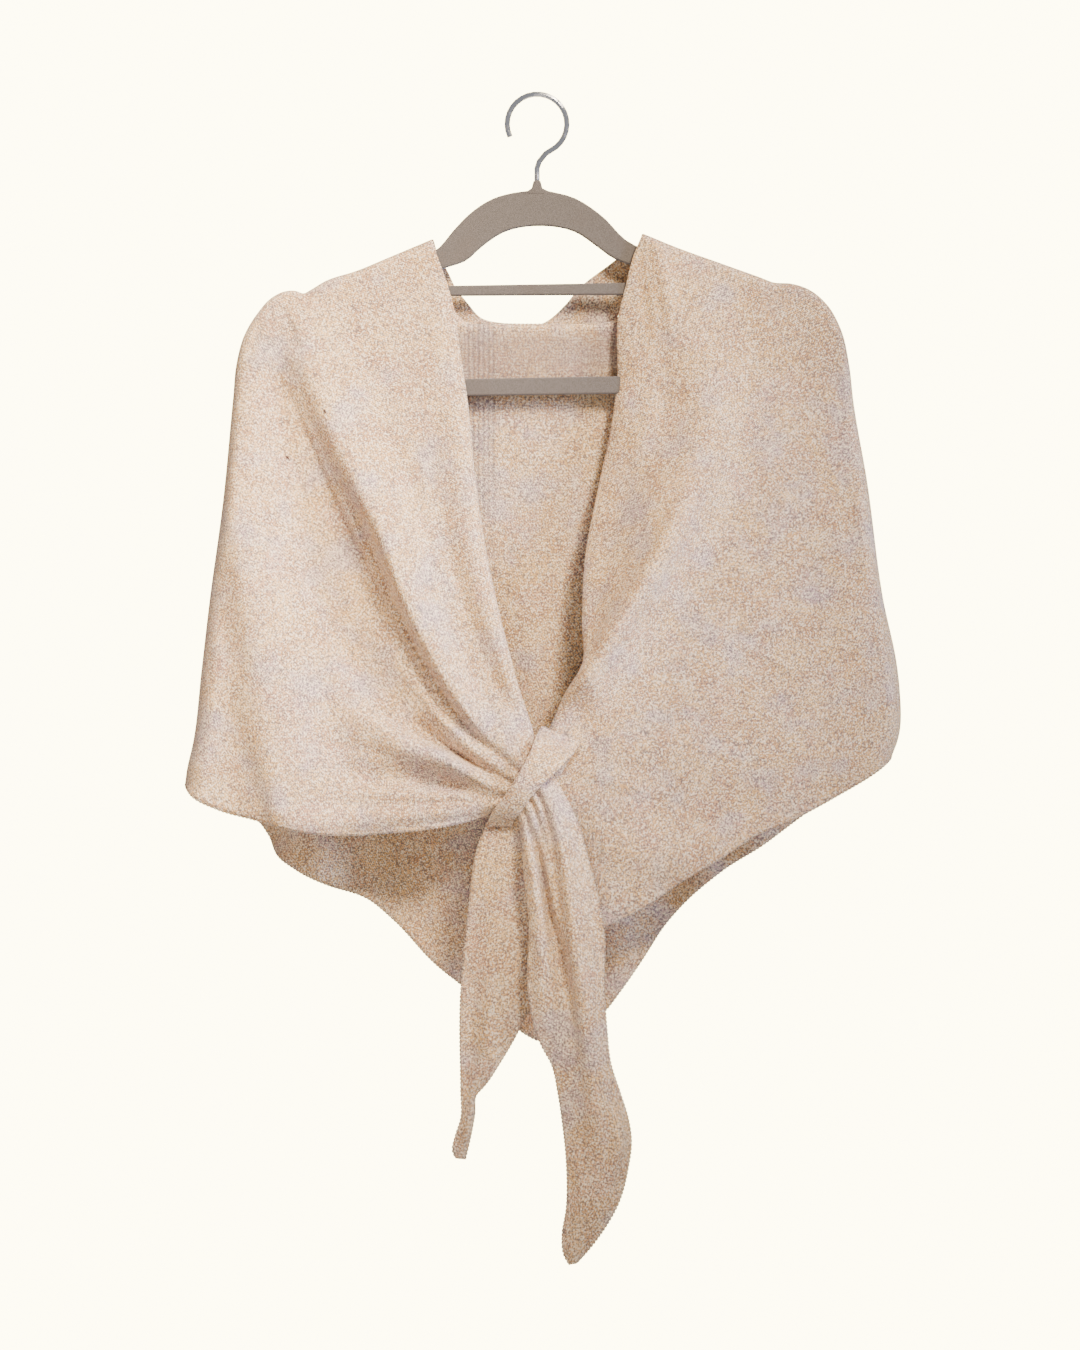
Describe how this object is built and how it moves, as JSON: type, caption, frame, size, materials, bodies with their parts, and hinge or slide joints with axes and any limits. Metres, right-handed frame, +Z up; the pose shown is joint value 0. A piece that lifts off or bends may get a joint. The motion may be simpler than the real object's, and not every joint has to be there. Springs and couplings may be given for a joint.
{
  "type": "knitted wool poncho wrap on a clothes hanger",
  "caption": "Oatmeal wool poncho wrap, a knitted triangle pulled through its own loop at the front, hanging on a flat grey flocked hanger with a wire hook.",
  "frame": {"origin": "inside top of the hanger's hook, where a rail or peg carries it", "axes": "+Z up, +X to the right as seen from the front, -Y towards the front where the wrap is pulled through its loop"},
  "size_m": [0.5267, 0.0964, 0.8602],
  "materials": {
    "wool_knit": "soft melange wool stockinette with a light nap",
    "grey_flock": "flocked, velvety",
    "hook_steel": "bright plated wire"
  },
  "bodies": {
    "root": {"front_left": "wool_knit", "front_right": "wool_knit", "back": "wool_knit", "back_collar": "wool_knit", "tail_left": "wool_knit", "tail_right": "wool_knit", "loop_strap": "wool_knit", "hanger": "grey_flock", "hook": "hook_steel"}
  },
  "joints": []
}
